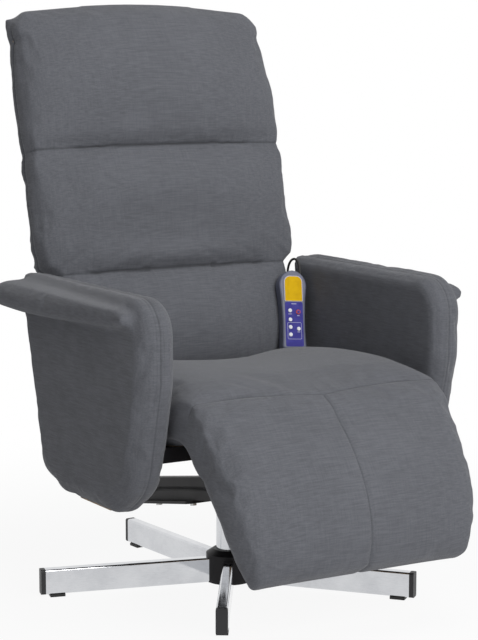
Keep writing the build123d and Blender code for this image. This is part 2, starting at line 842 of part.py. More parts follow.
def arm_outline(grow, first_share):
    # the panel's side outline, its corners rounded by shares of the arm's length
    points = []
    for along, up in arm_outline_shares:
        y = arm_front + along * arm_length
        z = arm_bottom + max(up, first_share) * arm_height
        points.append((y, z))
    with BuildSketch(Plane.YZ) as outline:
        with BuildLine():
            Polyline(*points, close=True)
        make_face()
        for (y, z), share in zip(points, arm_round_shares):
            if share > 0:
                near = outline.vertices().sort_by_distance((y, z, 0))[0]
                fillet(near, radius=share * arm_length)
        if grow:
            offset(amount=grow, kind=Kind.INTERSECTION)
    return outline.sketch_local


def on_side(sketch, x):
    return Plane.YZ.offset(x) * sketch


def core_profile(grow):
    # the core stands inside the padding, with a tongue down to the panel's lower edge
    with BuildSketch(Plane.YZ) as profile:
        add(arm_outline(grow - core_inset, 0))
        with Locations(((core_tongue_front + core_tongue_rear) / 2, arm_bottom + core_inset)):
            Rectangle(core_tongue_rear - core_tongue_front + 2 * grow, 2 * core_inset)
    return profile.sketch_local


for side, end_name in ((-1, "right"), (1, "left")):
    with BuildPart() as arm_pad:
        extrude(on_side(arm_outline(0, 0), side * arm_inner_x), amount=side * arm_thickness)
        rims = [edge for edge in arm_pad.edges() if edge.bounding_box().size.X < fit_gap]
        fillet(rims, radius=arm_edge_round)
        extrude(on_side(core_profile(soft_gap), side * (core_inner_x - soft_gap)),
                amount=side * (core_thickness + 2 * soft_gap), mode=Mode.SUBTRACT)
        for bar_y in (front_bar_y, rear_bar_y):
            with BuildSketch(Plane.YZ.offset(side * (arm_inner_x - overrun))):
                with Locations((bar_y, bar_bottom + bar_size / 2)):
                    Rectangle(flange_size + 2 * soft_gap, flange_size + 2 * soft_gap)
            extrude(amount=side * (core_inner_x - arm_inner_x + overrun), mode=Mode.SUBTRACT)
    save(arm_pad, f"arm_pad_{end_name}")
    with BuildPart() as arm_core:
        extrude(on_side(core_profile(0), side * core_inner_x), amount=side * core_thickness)
        for bar_y in (front_bar_y, rear_bar_y):
            for end in (-1, 1):
                with BuildSketch(Plane.YZ.offset(side * core_inner_x)):
                    with Locations((bar_y, bar_bottom + bar_size / 2 + end * arm_bolt_pitch / 2)):
                        Circle(arm_bolt_radius + fit_gap)
                extrude(amount=side * (arm_bolt_reach + fit_gap), mode=Mode.SUBTRACT)
    save(arm_core, f"arm_core_{end_name}")
    root_x = arm_outer_x + soft_gap
    with BuildPart() as arm_roll:
        sections = []
        for share in (0, 0.35, 1):
            y = roll_front + share * (roll_rear - roll_front)
            grown = share ** roll_swell_power
            reach = roll_tip_overhang + grown * (roll_overhang - roll_tip_overhang)
            height = roll_tip_height + grown * (roll_height - roll_tip_height)
            top = arm_top - arm_edge_round / 2 - (1 - grown) * roll_tip_drop
            with BuildSketch(Plane.XZ.offset(-y)) as section:
                with BuildLine():
                    inner_top = (side * root_x, top)
                    inner_low = (side * root_x, top - height * 0.94)
                    outer_top = (side * (root_x + 0.68 * reach), top - 0.05 * height)
                    outer_low = (side * (root_x + 0.64 * reach), top - height)
                    Line(inner_low, inner_top)
                    Line(inner_top, outer_top)
                    ThreePointArc(outer_top, (side * (root_x + reach), top - 0.52 * height), outer_low)
                    Line(outer_low, inner_low)
                make_face()
            sections.append(section.sketch)
        loft(sections=sections)
    save(arm_roll, f"arm_roll_{end_name}")

with BuildPart() as arm_bolts:
    for side in (-1, 1):
        for bar_y in (front_bar_y, rear_bar_y):
            for end in (-1, 1):
                place = (bar_y, bar_bottom + bar_size / 2 + end * arm_bolt_pitch / 2)
                with BuildSketch(Plane.YZ.offset(side * bar_end)):
                    with Locations(place):
                        Circle(arm_bolt_radius)
                extrude(amount=side * (flange_wall + arm_bolt_reach))
                with BuildSketch(Plane.YZ.offset(side * bar_end)):
                    with Locations(place):
                        RegularPolygon(arm_bolt_head, 6)
                extrude(amount=-side * bolt_head_height)
save(arm_bolts, "arm_bolts")

# Control box under the seat board, with its power inlet and the handset cord's gland
box_top = bar_top
box_low = box_top - box_height
with BuildPart() as control_box:
    with BuildSketch(Plane.XY.offset(box_low)):
        with Locations((0, box_y)):
            RectangleRounded(box_width, box_length, box_corner)
    extrude(amount=box_height)
    fillet(control_box.faces().sort_by(Axis.Z)[0].edges(), radius=box_corner / 3)
    with BuildSketch(Plane.YZ.offset(-box_width / 2)):
        with Locations((box_y, box_low + box_height / 2)):
            Circle(inlet_radius + fit_gap)
    extrude(amount=inlet_length, mode=Mode.SUBTRACT)
    with BuildSketch(Plane.YZ.offset(box_width / 2)):
        with Locations((box_y, box_low + box_height / 2)):
            Circle(gland_radius - gland_lip + fit_gap)
    extrude(amount=-gland_length, mode=Mode.SUBTRACT)
save(control_box, "control_box")

with BuildPart() as power_inlet:
    with BuildSketch(Plane.YZ.offset(-box_width / 2)):
        with Locations((box_y, box_low + box_height / 2)):
            Circle(inlet_radius)
    extrude(amount=inlet_length - fit_gap)
    with BuildSketch(Plane.YZ.offset(-box_width / 2)):
        with Locations((box_y, box_low + box_height / 2)):
            Circle(inlet_bore)
            Circle(inlet_pin_radius, mode=Mode.SUBTRACT)
    extrude(amount=inlet_length - inlet_bore, mode=Mode.SUBTRACT)
save(power_inlet, "power_inlet")

with BuildPart() as cord_gland:
    with BuildSketch(Plane.YZ.offset(box_width / 2)):
        with Locations((box_y, box_low + box_height / 2)):
            Circle(gland_radius)
    extrude(amount=gland_length)
    fillet(cord_gland.faces().sort_by(Axis.X)[-1].edges(), radius=gland_lip)
    with BuildSketch(Plane.YZ.offset(box_width / 2)):
        with Locations((box_y, box_low + box_height / 2)):
            Circle(gland_radius - gland_lip)
    extrude(amount=-gland_length + fit_gap)
save(cord_gland, "cord_gland")

# Handset: it stands on the seat against the back, turned a little towards the middle
turn = math.radians(handset_turn)
tip = math.radians(handset_lean)
roll = math.radians(handset_roll)
across = Vector(math.cos(turn), -math.sin(turn), 0)
toward = Vector(-math.sin(turn), -math.cos(turn), 0)
rise = Vector(0, 0, 1) * math.cos(tip) - toward * math.sin(tip)
face_out = toward * math.cos(tip) + Vector(0, 0, 1) * math.sin(tip)
handset = Plane(origin=(handset_x, handset_y, handset_z), x_dir=across * math.cos(roll) - rise * math.sin(roll), z_dir=face_out)
foot_half = handset_foot_width / 2
waist_half = handset_waist_width / 2
head_half = handset_head_width / 2


def handset_outline(grow=0.0):
    with BuildSketch() as outline:
        with BuildLine():
            Line((0, 0), (foot_half - foot_corner, 0))
            ThreePointArc((foot_half - foot_corner, 0), (foot_half - 0.29 * foot_corner, 0.29 * foot_corner), (foot_half, foot_corner))
            ThreePointArc((foot_half, foot_corner), (waist_half, waist_share * handset_length), (head_half, head_share * handset_length))
            ThreePointArc((head_half, head_share * handset_length), (0.74 * head_half, 0.935 * handset_length), (0, handset_length))
            mirror(about=Plane.YZ)
        make_face()
    return outline.sketch_local


# The keys by column and by distance below the top of the key panel
key_places = {
    "mode_key": (-key_column_x, 16.0), "strength_key": (-key_column_x, 33.0), "back_key": (-key_column_x, 47.0),
    "seat_key": (-key_column_x, 61.0), "power_key": (key_column_x, 18.5), "lumbar_key": (key_column_x, 50.0),
}


def key_size(name):
    return power_key_radius if name == "power_key" else key_radius


relief_plane = Plane(handset.from_local_coords(Vector(relief_x, relief_start, handset_depth / 2)), x_dir=handset.x_dir, z_dir=handset.y_dir)
relief_lip = relief_radius + fit_gap

with BuildPart() as handset_rear:
    extrude(handset * handset_outline(), amount=handset_depth / 2 - fit_gap, dir=face_out)
    fillet(handset_rear.faces().sort_by(Axis(handset.origin, face_out))[0].edges(), radius=handset_edge)
    with BuildSketch(relief_plane):
        Circle(relief_lip)
    extrude(amount=relief_length, mode=Mode.SUBTRACT)
save(handset_rear, "handset_rear")

panel_low = handset_depth - panel_height + panel_stand
panel_places = (
    ("upper_panel", upper_panel_width, upper_panel_length, upper_panel_top),
    ("key_panel", key_panel_width, key_panel_length, key_panel_top),
)
with BuildPart() as handset_front:
    extrude(handset.offset(handset_depth / 2) * handset_outline(), amount=handset_depth / 2, dir=face_out)
    fillet(handset_front.faces().sort_by(Axis(handset.origin, face_out))[-1].edges(), radius=handset_edge)
    for name, width, length, top in panel_places:
        with BuildSketch(handset.offset(panel_low)):
            with Locations((0, top - length / 2)):
                RectangleRounded(width + 2 * fit_gap, length + 2 * fit_gap, panel_corner)
        extrude(amount=panel_height + overrun, mode=Mode.SUBTRACT)
    for name, (x, drop) in key_places.items():
        with BuildSketch(handset.offset(handset_depth - key_depth)):
            with Locations((x, key_panel_top - drop)):
                Circle(key_size(name) + key_play)
        extrude(amount=key_depth + overrun, mode=Mode.SUBTRACT)
    with BuildSketch(relief_plane):
        Circle(relief_lip)
    extrude(amount=relief_length, mode=Mode.SUBTRACT)
save(handset_front, "handset_front")

for name, width, length, top in panel_places:
    with BuildPart() as panel:
        with BuildSketch(handset.offset(panel_low)):
            with Locations((0, top - length / 2)):
                RectangleRounded(width, length, panel_corner)
            if name == "key_panel":
                for key, (x, drop) in key_places.items():
                    with Locations((x, key_panel_top - drop)):
                        Circle(key_size(key) + key_play, mode=Mode.SUBTRACT)
        extrude(amount=panel_height)
    save(panel, name)

for name, (x, drop) in key_places.items():
    with BuildPart() as key:
        with BuildSketch(handset.offset(handset_depth - key_depth + key_travel + key_play)):
            with Locations((x, key_panel_top - drop)):
                Circle(key_size(name))
        extrude(amount=key_depth - key_travel - key_play + panel_stand + key_stand)
        fillet(key.faces().sort_by(Axis(handset.origin, face_out))[-1].edges(), radius=key_stand / 2)
    save(key, name)

with BuildPart() as handset_relief:
    with BuildSketch(relief_plane):
        Circle(relief_radius)
    with BuildSketch(relief_plane.offset(relief_length)):
        Circle(relief_radius - relief_taper)
    loft()
save(handset_relief, "handset_relief")

# Handset cord: up from the handset, over into the gap beside the back, down it and under the
# seat to the control box, in straight runs joined by arcs
relief_tip = relief_plane.offset(relief_length + cord_gap).origin
relief_lead = relief_plane.offset(relief_length + relief_run).origin
gland_z = box_low + box_height / 2
cord_route = [
    relief_tip, relief_lead, (240.6, 189.5, 543.5), (243.6, 204.5, 549.5), (244.6, 219.5, 546.0),
    (244.8, 230.5, 534.5), (244.8, 234.5, 517.0), (244.8, 233.0, 490.0), (244.8, 227.5, 450.0),
    (244.8, 218.0, 405.0), (244.6, 206.0, 357.0), (243.0, 193.0, 308.0), (233.0, 176.0, 268.0),
    (207.0, 149.0, 246.0), (168.0, 114.0, 243.0), (130.0, 86.0, 258.0), (108.0, 73.5, gland_z - cord_sag),
    (90.0, box_y, gland_z), (box_width / 2 + gland_length + cord_gap, box_y, gland_z),
]
cord_points = [Vector(point) for point in cord_route]
runs = [after - before for before, after in zip(cord_points, cord_points[1:])]
cord_radii = []
for before, after in zip(runs, runs[1:]):
    half_turn = math.radians(before.get_angle(after)) / 2
    cord_radii.append(cord_bend_share * min(before.length, after.length) / math.tan(half_turn))
print("cord radii", [round(radius, 1) for radius in cord_radii])
with BuildPart() as handset_cord:
    with BuildLine() as route:
        FilletPolyline(*cord_points, radius=cord_radii)
    with BuildSketch(Plane(cord_points[0], z_dir=runs[0])):
        Circle(cord_diameter / 2)
    sweep()
route_length = sum(edge.length for edge in route.edges())
cord_section = math.pi * cord_diameter**2 / 4
print("cord length", round(route_length, 1), "volume share", round(handset_cord.part.volume / (cord_section * route_length), 4))
save(handset_cord, "handset_cord")

# Screws up through the hub's floor into the legs
with BuildPart() as leg_screws:
    for index in range(leg_count):
        spot = leg_plane(index, leg_screw_reach, 0).origin
        with BuildSketch(Plane.XY.offset(leg_bottom - fit_gap)):
            with Locations((spot.X, spot.Y)):
                RegularPolygon(leg_screw_head, 6)
        extrude(amount=-leg_screw_head / 2)
save(leg_screws, "leg_screws")
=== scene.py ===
import json
import math
from collections import namedtuple

import bmesh
import bpy
import numpy as np
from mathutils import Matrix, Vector, noise
from mathutils.bvhtree import BVHTree


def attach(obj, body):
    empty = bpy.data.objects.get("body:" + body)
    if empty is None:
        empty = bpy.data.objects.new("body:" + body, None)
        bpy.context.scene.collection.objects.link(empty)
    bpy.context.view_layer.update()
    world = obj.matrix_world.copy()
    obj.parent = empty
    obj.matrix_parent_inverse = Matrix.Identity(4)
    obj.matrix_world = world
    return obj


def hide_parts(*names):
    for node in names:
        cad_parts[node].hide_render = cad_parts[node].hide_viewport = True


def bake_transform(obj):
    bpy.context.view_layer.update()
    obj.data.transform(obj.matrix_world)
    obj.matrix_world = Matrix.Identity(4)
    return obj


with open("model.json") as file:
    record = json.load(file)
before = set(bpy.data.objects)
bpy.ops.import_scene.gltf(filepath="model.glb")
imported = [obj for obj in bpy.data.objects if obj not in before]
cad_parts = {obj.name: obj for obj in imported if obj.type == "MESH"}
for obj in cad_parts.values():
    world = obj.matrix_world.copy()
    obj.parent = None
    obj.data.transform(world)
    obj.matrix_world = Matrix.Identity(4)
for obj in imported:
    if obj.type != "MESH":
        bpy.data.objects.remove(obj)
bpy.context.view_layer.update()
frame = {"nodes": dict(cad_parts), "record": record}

nodes = frame["nodes"]
scene = bpy.context.scene
collection = scene.collection

# Places, sizes and angles that the soft covers share, in metres and radians
knee_axis = Vector((0.0, -0.212, 0.300))
seat_underside = 0.326
back_pivot = Vector((0.0, 0.188, 0.300))
back_lean = math.radians(14.5)
lumbar_seam = 0.245
head_seam = 0.471
back_top = 0.733
half_between_arms = 0.246
half_above_arms = 0.265
valley_fill = 0.009
head_crown = 0.024
crown_half_width = 0.26
arm_middle = 0.281


class Value:
    """A shader socket that adds, multiplies and compares like a number."""

    def __init__(self, tree, socket):
        self.tree = tree
        self.socket = socket

    def math(self, operation, *terms):
        node = self.tree.nodes.new("ShaderNodeMath")
        node.operation = operation
        for entry, term in zip(node.inputs, (self,) + terms):
            if isinstance(term, Value):
                self.tree.links.new(term.socket, entry)
            else:
                entry.default_value = term
        return Value(self.tree, node.outputs[0])

    def __add__(self, term):
        return self.math("ADD", term)

    def __sub__(self, term):
        return self.math("SUBTRACT", term)

    def __mul__(self, term):
        return self.math("MULTIPLY", term)

    def __abs__(self):
        return self.math("ABSOLUTE")

    def sine(self):
        return self.math("SINE")

    def above(self, low, high):
        """0 below low, 1 above high, and smooth between them."""
        node = self.tree.nodes.new("ShaderNodeMapRange")
        node.interpolation_type = "SMOOTHSTEP"
        self.tree.links.new(self.socket, node.inputs["Value"])
        node.inputs["From Min"].default_value = low
        node.inputs["From Max"].default_value = high
        return Value(self.tree, node.outputs["Result"])


class Finish:
    """A material whose pattern is built from Object coordinates."""

    def __init__(self, name, **constants):
        self.material = bpy.data.materials.new(name)
        self.material.use_nodes = True
        self.tree = self.material.node_tree
        self.shader = self.tree.nodes["Principled BSDF"]
        for socket, value in constants.items():
            title = socket.replace("_", " ").title().replace("Ior", "IOR")
            self.shader.inputs[title].default_value = value
        self.places = self.tree.nodes.new("ShaderNodeTexCoord")

    def node(self, kind, values, **settings):
        node = self.tree.nodes.new(kind)
        for key, value in settings.items():
            setattr(node, key, value)
        for key, value in values.items():
            if isinstance(value, Value):
                self.tree.links.new(value.socket, node.inputs[key])
            else:
                node.inputs[key].default_value = value
        return node

    def place(self, stretch):
        where = Value(self.tree, self.places.outputs["Object"])
        mapping = self.node("ShaderNodeMapping", {"Vector": where, "Scale": stretch})
        return Value(self.tree, mapping.outputs[0])

    def parts(self, output="Object"):
        split = self.node("ShaderNodeSeparateXYZ", {0: Value(self.tree, self.places.outputs[output])})
        return [Value(self.tree, socket) for socket in split.outputs]

    def noise(self, scale, detail=2.0, rough=0.5, stretch=(1, 1, 1)):
        values = {"Vector": self.place(stretch), "Scale": scale, "Detail": detail, "Roughness": rough}
        return Value(self.tree, self.node("ShaderNodeTexNoise", values).outputs["Fac"])

    def mark(self, name):
        """The value of the mesh attribute of this name."""
        return Value(self.tree, self.node("ShaderNodeAttribute", {}, attribute_name=name).outputs["Fac"])

    def mix(self, share, low, high):
        """A colour between low and high; each is a plain colour or another mix."""
        ends = [(*colour, 1) if isinstance(colour, tuple) else colour for colour in (low, high)]
        node = self.node("ShaderNodeMix", {}, data_type="RGBA")
        for entry, value in zip((node.inputs[0], node.inputs[6], node.inputs[7]), (share, *ends)):
            if isinstance(value, Value):
                self.tree.links.new(value.socket, entry)
            else:
                entry.default_value = value
        return Value(self.tree, node.outputs[2])

    def bump(self, height, distance, strength=1.0, under=None):
        values = {"Height": height, "Distance": distance, "Strength": strength}
        if under:
            values["Normal"] = under
        return Value(self.tree, self.node("ShaderNodeBump", values).outputs["Normal"])

    def set(self, **entries):
        for socket, value in entries.items():
            self.tree.links.new(value.socket, self.shader.inputs[socket.replace("_", " ").title()])


def shaded(colour, share):
    return tuple(share * part for part in colour)


def woven_cover(name, colour, thread=0.0011):
    """Grey upholstery cloth: a plain weave with slubs along both threads, with painted shade darkening the
    cloth in the seams.
    """
    cloth = Finish(name, roughness=0.86, sheen_weight=0.22, sheen_roughness=0.45, specular_ior_level=0.25)
    x, y, z = cloth.parts()
    side = abs(cloth.parts("Normal")[0]).above(0.62, 0.82)
    pace = 2 * math.pi / thread
    run = (x * pace).sine() * ((y + z) * pace).sine()
    wall = (y * pace).sine() * (z * pace).sine()
    weave = (run + (wall - run) * side) * 0.5 + 0.5
    weft = cloth.noise(1, 3.0, 0.6, (26, 520, 520))
    warp = cloth.noise(1, 2.0, 0.55, (620, 34, 34))
    weft_side = cloth.noise(1, 3.0, 0.6, (520, 30, 520))
    slub = weft + (weft_side - weft) * side
    cloud = cloth.noise(9, 2.0, 0.5)
    grain = cloth.noise(900, 1.0)
    tone = (slub * 0.46 + warp * 0.2 + grain * 0.14 + cloud * 0.12 + weave * 0.08).above(0.36, 0.64)
    # Painted shade: the seam attribute darkens the cloth towards a fifth of its colour along the seams,
    # standing in for the shadow in their creases.
    seam_shade = (cloth.mark("seam") * 0.62).math("MINIMUM", 0.62)
    body = cloth.mix(tone, shaded(colour, 0.83), shaded(colour, 1.17))
    body = cloth.mix(seam_shade, body, shaded(colour, 0.2))
    height = weave * 0.5 + slub * 0.9 + grain * 0.25
    soft = cloth.bump(cloth.noise(38, 3.0, 0.55), 0.0011, 0.35)
    cloth.set(base_color=body, roughness=tone * -0.1 + 0.9, normal=cloth.bump(height, 0.00035, 0.7, soft))
    return cloth.material


def stitch_thread():
    thread = Finish("stitch_thread", roughness=0.7, sheen_weight=0.2)
    twist = ((thread.parts()[1] + thread.parts()[2]) * 5200).sine()
    tone = (thread.noise(700, 2.0) * 0.5 + twist * 0.25 + 0.25).above(0.2, 0.8)
    thread.set(base_color=thread.mix(tone, (0.075, 0.079, 0.09), (0.16, 0.166, 0.18)),
               normal=thread.bump(twist, 0.0001, 0.5))
    return thread.material


def chromed_steel():
    chrome = Finish("polished_chrome", metallic=1.0, ior=2.5)
    haze = chrome.noise(14, 4.0, 0.6)
    draw = chrome.noise(1, 2.0, 0.5, (90, 90, 1400))
    smear = (haze * 0.7 + draw * 0.3).above(0.35, 0.75)
    chrome.set(base_color=chrome.mix(smear, (0.66, 0.67, 0.69), (0.54, 0.55, 0.575)),
               roughness=smear * 0.09 + 0.055, normal=chrome.bump(draw, 0.00004, 0.25))
    return chrome.material


def black_coat():
    coat = Finish("black_powder_coat", specular_ior_level=0.22)
    peel = coat.noise(420, 2.0, 0.5)
    rub = coat.noise(22, 4.0, 0.65)
    coat.set(base_color=coat.mix(rub.above(0.55, 0.8), (0.011, 0.010, 0.012), (0.03, 0.029, 0.032)),
             roughness=rub * 0.2 + 0.36, normal=coat.bump(peel, 0.00012, 0.35))
    return coat.material


def moulded(name, colour, rough, grain_size=0.0004, worn=0.12, **constants):
    """Moulded plastic or rubber with a fine grain and slightly uneven gloss."""
    plastic = Finish(name, **constants)
    grain = plastic.noise(1 / grain_size, 2.0, 0.5)
    handled = plastic.noise(30, 3.0, 0.6)
    light = tuple(min(1.0, part * (1 + worn) + 0.01 * worn) for part in colour)
    dark = shaded(colour, 1 - worn)
    plastic.set(base_color=plastic.mix(handled.above(0.3, 0.7), dark, light),
                roughness=handled * 0.14 + (rough - 0.07),
                normal=plastic.bump(grain, grain_size * 0.18, 0.4))
    return plastic.material


def zinc_plate():
    zinc = Finish("zinc_plate", metallic=1.0)
    spangle = zinc.noise(260, 3.0, 0.6)
    zinc.set(base_color=zinc.mix(spangle, (0.42, 0.42, 0.42), (0.66, 0.66, 0.64)),
             roughness=spangle * 0.25 + 0.24, normal=zinc.bump(spangle, 0.00006, 0.4))
    return zinc.material


def bare_plywood():
    ply = Finish("sanded_plywood", roughness=0.6)
    grain = ply.noise(1, 5.0, 0.6, (420, 18, 420))
    plies = (ply.parts()[2] * 2400).sine()
    tone = (grain * 0.8 + plies * 0.08 + 0.1).above(0.3, 0.75)
    ply.set(base_color=ply.mix(tone, (0.40, 0.26, 0.14), (0.66, 0.49, 0.31)),
            roughness=tone * 0.2 + 0.5, normal=ply.bump(grain, 0.0002, 0.4))
    return ply.material


def printed_film(name, colour, shade):
    """Smooth printed film on the handset, a little uneven in tone and gloss."""
    film = Finish(name, specular_ior_level=0.08)
    cloud = film.noise(70, 2.0, 0.5)
    film.set(base_color=film.mix(cloud.above(0.3, 0.75), colour, shade),
             roughness=cloud * 0.1 + 0.38, normal=film.bump(film.noise(500, 1.0), 0.00005, 0.25))
    return film.material


finishes = {
    "fabric": woven_cover("grey_upholstery", (0.136, 0.141, 0.158)),
    "chrome": chromed_steel(),
    "black_steel": black_coat(),
    "black_plastic": moulded("black_moulding", (0.018, 0.018, 0.02), 0.5),
    "black_rubber": moulded("black_rubber", (0.014, 0.014, 0.014), 0.62, 0.0006),
    "steel": zinc_plate(),
    "plywood": bare_plywood(),
    "handset_shell": moulded("violet_shell", (0.15, 0.16, 0.225), 0.45, 0.0003, 0.08),
    "yellow_panel": printed_film("yellow_film", (0.86, 0.53, 0.002), (0.76, 0.45, 0.002)),
    "violet_panel": printed_film("violet_film", (0.075, 0.07, 0.36), (0.055, 0.05, 0.29)),
    "white_key": moulded("white_key", (0.90, 0.91, 0.95), 0.3, 0.0003, 0.03),
    "red_key": moulded("red_key", (0.62, 0.05, 0.06), 0.3, 0.0003, 0.06),
}
thread_finish = stitch_thread()
pale_print = moulded("pale_print", (0.55, 0.56, 0.75), 0.35, 0.0002, 0.04)

slots = {subpart["node"]: subpart["material_slot"] for subpart in frame["record"]["subparts"]}
for name, node in nodes.items():
    node.data.materials.clear()
    node.data.materials.append(finishes[slots[name]])


def new_piece(name, mesh, finish):
    piece = bpy.data.objects.new(name, mesh)
    collection.objects.link(piece)
    mesh.materials.clear()
    mesh.materials.append(finish)
    return piece


def settled(piece):
    """A plain mesh of the piece with its modifiers applied."""
    graph = bpy.context.evaluated_depsgraph_get()
    mesh = bpy.data.meshes.new_from_object(piece.evaluated_get(graph), depsgraph=graph)
    mesh.name = piece.name
    return mesh


def apply_all(piece):
    mesh = settled(piece)
    piece.modifiers.clear()
    old = piece.data
    piece.data = mesh
    bpy.data.meshes.remove(old)


def corners(mesh):
    points = np.empty(len(mesh.vertices) * 3)
    mesh.vertices.foreach_get("co", points)
    return points.reshape(-1, 3)


def directions(mesh):
    arrows = np.empty(len(mesh.vertices) * 3)
    mesh.vertex_normals.foreach_get("vector", arrows)
    return arrows.reshape(-1, 3)


def move_corners(mesh, points):
    mesh.vertices.foreach_set("co", np.asarray(points, float).ravel())
    mesh.update()


def smooth_faces(mesh):
    mesh.polygons.foreach_set("use_smooth", [True] * len(mesh.polygons))
    mesh.update()


def united(name, parts, voxel, passes, board, wrap):
    """One even skin round copies of these CAD solids and round their board, grown by the wrap."""
    shape = bmesh.new()
    for part in parts:
        shape.from_mesh(nodes[part].data)
    first = len(shape.verts)
    shape.from_mesh(nodes[board].data)
    shape.verts.ensure_lookup_table()
    added = shape.verts[first:]
    places = np.array([corner.co for corner in added])
    middle = (places.max(0) + places.min(0)) / 2
    spread = (places.max(0) - places.min(0)) / 2
    for corner, place in zip(added, places):
        corner.co = middle + (place - middle) * (spread + wrap) / spread
    bmesh.ops.remove_doubles(shape, verts=shape.verts, dist=0.00002)
    mesh = bpy.data.meshes.new(name)
    shape.to_mesh(mesh)
    shape.free()
    piece = new_piece(name, mesh, finishes["fabric"])
    remesh = piece.modifiers.new("skin", "REMESH")
    remesh.mode = "VOXEL"
    remesh.voxel_size = voxel
    ease = piece.modifiers.new("ease", "SMOOTH")
    ease.factor = 0.5
    ease.iterations = passes
    apply_all(piece)
    smooth_faces(piece.data)
    return piece


def puff(piece, held, pressure, slack, cap, inset=0.002, frames=20):
    """Fill the cover with air by cloth simulation. held is 1 where the cloth is fixed, slack is the share
    by which it may grow, and no corner moves further than the cap."""
    mesh = piece.data
    start = corners(mesh) - directions(mesh) * inset * (1 - held)[:, None]
    move_corners(mesh, start)
    fixed = piece.vertex_groups.new(name="held")
    weights = np.round(held, 2)
    for weight in np.unique(weights[weights > 0]):
        fixed.add(np.nonzero(weights == weight)[0].tolist(), float(weight), "REPLACE")
    cloth = piece.modifiers.new("air", "CLOTH")
    settings = cloth.settings
    settings.quality = 5
    settings.mass = 0.35
    settings.tension_stiffness = 18
    settings.compression_stiffness = 10
    settings.shear_stiffness = 8
    settings.bending_stiffness = 0.6
    settings.use_pressure = True
    settings.uniform_pressure_force = pressure
    settings.shrink_min = -slack
    settings.vertex_group_mass = "held"
    settings.effector_weights.gravity = 0
    cloth.collision_settings.use_collision = False
    cloth.point_cache.frame_start = 1
    cloth.point_cache.frame_end = frames
    for tick in range(1, frames + 1):
        scene.frame_set(tick)
    mesh = settled(piece)
    moved = corners(mesh) - start
    length = np.linalg.norm(moved, axis=1)
    moved *= (np.minimum(length, cap) / np.maximum(length, 1e-9))[:, None]
    piece.modifiers.clear()
    piece.vertex_groups.clear()
    scene.frame_set(1)
    move_corners(piece.data, start + moved)


def refine(piece, near):
    """One subdivision all over, and one more where near is true."""
    divide = piece.modifiers.new("divide", "SUBSURF")
    divide.levels = divide.render_levels = 1
    apply_all(piece)
    shape = bmesh.new()
    shape.from_mesh(piece.data)
    close = near(np.array([corner.co for corner in shape.verts]))
    edges = [edge for edge in shape.edges if close[edge.verts[0].index] and close[edge.verts[1].index]]
    bmesh.ops.subdivide_edges(shape, edges=edges, cuts=1, use_grid_fill=True, smooth=0.6)
    shape.to_mesh(piece.data)
    shape.free()
    smooth_faces(piece.data)


# What a seam is: measure gives the distance across it, the distance along it and its strength at each point;
# mark is the strength of the painted shade that the material lays in its crease
Seam = namedtuple("Seam", "measure depth width pucker reach mark")


def ripple(across, along, pitch, fade, seed):
    """Smooth noise that follows a seam, its waves a pitch long."""
    return np.array([noise.noise(Vector((u / pitch, v / fade, seed))) for u, v in zip(along, across)])


def sew(piece, seams, seed):
    """Press the seams into the cover, pucker the cloth beside them and store the painted shade of their
    creases in the seam attribute for the material.
    """
    mesh = piece.data
    points = corners(mesh)
    arrows = directions(mesh)
    shift = np.zeros(len(points))
    mark = np.zeros(len(points))
    for number, seam in enumerate(seams):
        across, along, strength = seam.measure(points)
        near = np.nonzero((np.abs(across) < max(seam.reach, seam.width) * 3) & (strength > 0.001))[0]
        away = np.abs(across[near])
        firm = strength[near]
        wave = ripple(across[near], along[near], 0.013, 0.06, seed + number * 9.1)
        fine = ripple(across[near], along[near], 0.006, 0.03, seed + number * 4.3)
        pucker = (wave * 0.75 + fine * 0.35) * np.exp(-away / seam.reach) * np.minimum(1, away / seam.width)
        shift[near] += firm * (seam.pucker * pucker - seam.depth * np.exp(-(away / seam.width) ** 1.3))
        # Painted shade: a narrow band along each seam line, which the material darkens as the shadow in the
        # crease.
        line = np.exp(-(away / (seam.width * 0.34)) ** 2)
        mark[near] = np.maximum(mark[near], firm * seam.mark * line)
    move_corners(mesh, points + arrows * shift[:, None])
    layer = mesh.attributes.new("seam", "FLOAT", "POINT")
    layer.data.foreach_set("value", mark.astype(np.float32))


def beside(points, measure, reach):
    """True for the points that lie within reach of a seam."""
    across, _, strength = measure(points)
    return (np.abs(across) < reach) & (strength > 0.05)


def swell(piece, amount):
    """Move each corner outwards by the distance that amount gives for an array of points."""
    points = corners(piece.data)
    move_corners(piece.data, points + directions(piece.data) * amount(points)[:, None])


def step(value, low, high):
    """0 below low, 1 above high, and smooth between them."""
    share = np.clip((value - low) / (high - low), 0, 1)
    return share * share * (3 - 2 * share)


